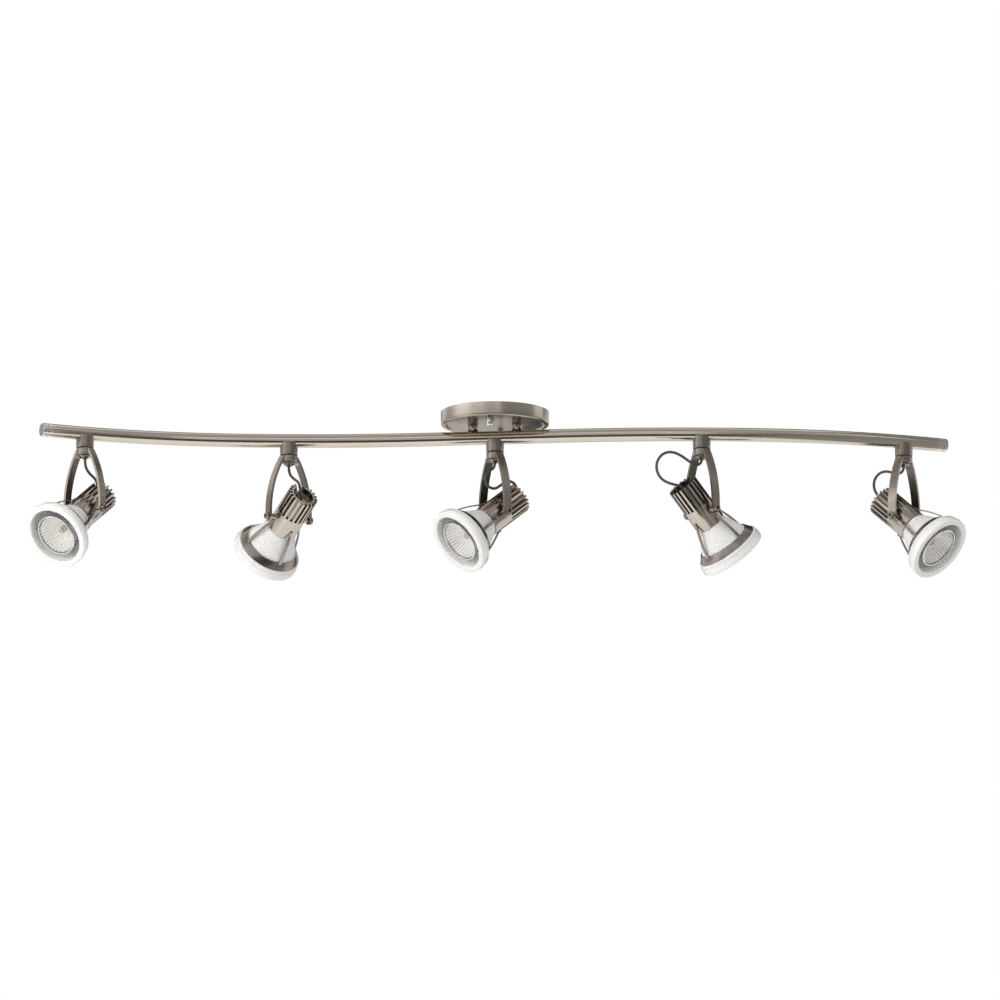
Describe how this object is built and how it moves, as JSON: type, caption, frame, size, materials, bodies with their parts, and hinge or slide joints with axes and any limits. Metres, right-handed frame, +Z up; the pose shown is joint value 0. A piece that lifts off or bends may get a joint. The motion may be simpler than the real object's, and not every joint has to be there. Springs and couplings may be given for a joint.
{
  "type": "track lighting fixture",
  "caption": "Wave-shaped tube under a round ceiling canopy, carrying swivelling and tilting spotlight heads with finned barrels and glass cones.",
  "frame": {"origin": "centre of the mounting strap's top face, on the ceiling plane", "axes": "+Z up into the ceiling, +X along the bar at its middle, from one canopy post to the other"},
  "size_m": [1.0807, 0.2891, 0.1969],
  "materials": {
    "brushed_nickel": "brushed satin nickel plate",
    "nickel_aluminium": "satin nickel-tone finned casting",
    "polished_nickel": "polished plate",
    "zinc_steel": "bright zinc plate",
    "dark_washer": "matt black nylon",
    "frosted_glass": "clear pressed glass, frosted on its flank",
    "ceramic": "unglazed ceramic",
    "lamp_mirror": "faceted mirrored glass",
    "lead_sleeve": "dull dark grey sleeve"
  },
  "bodies": {
    "fixture": {"canopy": "brushed_nickel", "mounting_strap": "zinc_steel", "ground_screw": "zinc_steel", "strap_studs": "zinc_steel", "cap_nuts": "polished_nickel", "bar_tube": "brushed_nickel", "bar_end_caps": "polished_nickel", "bar_posts": "brushed_nickel", "post_nuts": "zinc_steel", "swivel_washers": "dark_washer", "collar_1": "brushed_nickel", "swivel_bush_1": "polished_nickel", "collar_2": "brushed_nickel", "swivel_bush_2": "polished_nickel", "collar_3": "brushed_nickel", "swivel_bush_3": "polished_nickel", "collar_4": "brushed_nickel", "swivel_bush_4": "polished_nickel", "collar_5": "brushed_nickel", "swivel_bush_5": "polished_nickel"},
    "swivel_1": {"yoke_1": "brushed_nickel", "lead_1": "lead_sleeve"},
    "head_1": {"heat_sink_1": "nickel_aluminium", "pivot_screws_1": "polished_nickel", "guard_1": "brushed_nickel", "glass_cone_1": "frosted_glass", "lamp_holder_1": "ceramic", "reflector_lamp_1": "lamp_mirror"},
    "swivel_2": {"yoke_2": "brushed_nickel", "lead_2": "lead_sleeve"},
    "head_2": {"heat_sink_2": "nickel_aluminium", "pivot_screws_2": "polished_nickel", "guard_2": "brushed_nickel", "glass_cone_2": "frosted_glass", "lamp_holder_2": "ceramic", "reflector_lamp_2": "lamp_mirror"},
    "swivel_3": {"yoke_3": "brushed_nickel", "lead_3": "lead_sleeve"},
    "head_3": {"heat_sink_3": "nickel_aluminium", "pivot_screws_3": "polished_nickel", "guard_3": "brushed_nickel", "glass_cone_3": "frosted_glass", "lamp_holder_3": "ceramic", "reflector_lamp_3": "lamp_mirror"},
    "swivel_4": {"yoke_4": "brushed_nickel", "lead_4": "lead_sleeve"},
    "head_4": {"heat_sink_4": "nickel_aluminium", "pivot_screws_4": "polished_nickel", "guard_4": "brushed_nickel", "glass_cone_4": "frosted_glass", "lamp_holder_4": "ceramic", "reflector_lamp_4": "lamp_mirror"},
    "swivel_5": {"yoke_5": "brushed_nickel", "lead_5": "lead_sleeve"},
    "head_5": {"heat_sink_5": "nickel_aluminium", "pivot_screws_5": "polished_nickel", "guard_5": "brushed_nickel", "glass_cone_5": "frosted_glass", "lamp_holder_5": "ceramic", "reflector_lamp_5": "lamp_mirror"}
  },
  "joints": [
    {"name": "swivel_turn_1", "type": "hinge", "parent": "fixture", "child": "swivel_1", "pos_m": [-0.4717, -0.09046, -0.0478], "axis": [0, 0, 1], "range_deg": [-175, 175]},
    {"name": "head_tilt_1", "type": "hinge", "parent": "swivel_1", "child": "head_1", "pos_m": [-0.4717, -0.09046, -0.123], "axis": [-0.848, 0.5299, 0], "range_deg": [-53.5, 36.5], "deforming": ["lead_1"]},
    {"name": "swivel_turn_2", "type": "hinge", "parent": "fixture", "child": "swivel_2", "pos_m": [-0.2422, -0.01479, -0.0478], "axis": [0, 0, 1], "range_deg": [-175, 175]},
    {"name": "head_tilt_2", "type": "hinge", "parent": "swivel_2", "child": "head_2", "pos_m": [-0.2422, -0.01479, -0.123], "axis": [0.7547, 0.6561, 0], "range_deg": [-56, 34], "deforming": ["lead_2"]},
    {"name": "swivel_turn_3", "type": "hinge", "parent": "fixture", "child": "swivel_3", "pos_m": [0, 0, -0.0478], "axis": [0, 0, 1], "range_deg": [-175, 175]},
    {"name": "head_tilt_3", "type": "hinge", "parent": "swivel_3", "child": "head_3", "pos_m": [0, 0, -0.123], "axis": [-0.6428, 0.766, 0], "range_deg": [-53.3, 36.7], "deforming": ["lead_3"]},
    {"name": "swivel_turn_4", "type": "hinge", "parent": "fixture", "child": "swivel_4", "pos_m": [0.2422, 0.01479, -0.0478], "axis": [0, 0, 1], "range_deg": [-175, 175]},
    {"name": "head_tilt_4", "type": "hinge", "parent": "swivel_4", "child": "head_4", "pos_m": [0.2422, 0.01479, -0.123], "axis": [0.682, -0.7314, 0], "range_deg": [-44.5, 45.5], "deforming": ["lead_4"]},
    {"name": "swivel_turn_5", "type": "hinge", "parent": "fixture", "child": "swivel_5", "pos_m": [0.4717, 0.09046, -0.0478], "axis": [0, 0, 1], "range_deg": [-175, 175]},
    {"name": "head_tilt_5", "type": "hinge", "parent": "swivel_5", "child": "head_5", "pos_m": [0.4717, 0.09046, -0.123], "axis": [-0.4226, -0.9063, 0], "range_deg": [-50, 40], "deforming": ["lead_5"]}
  ]
}
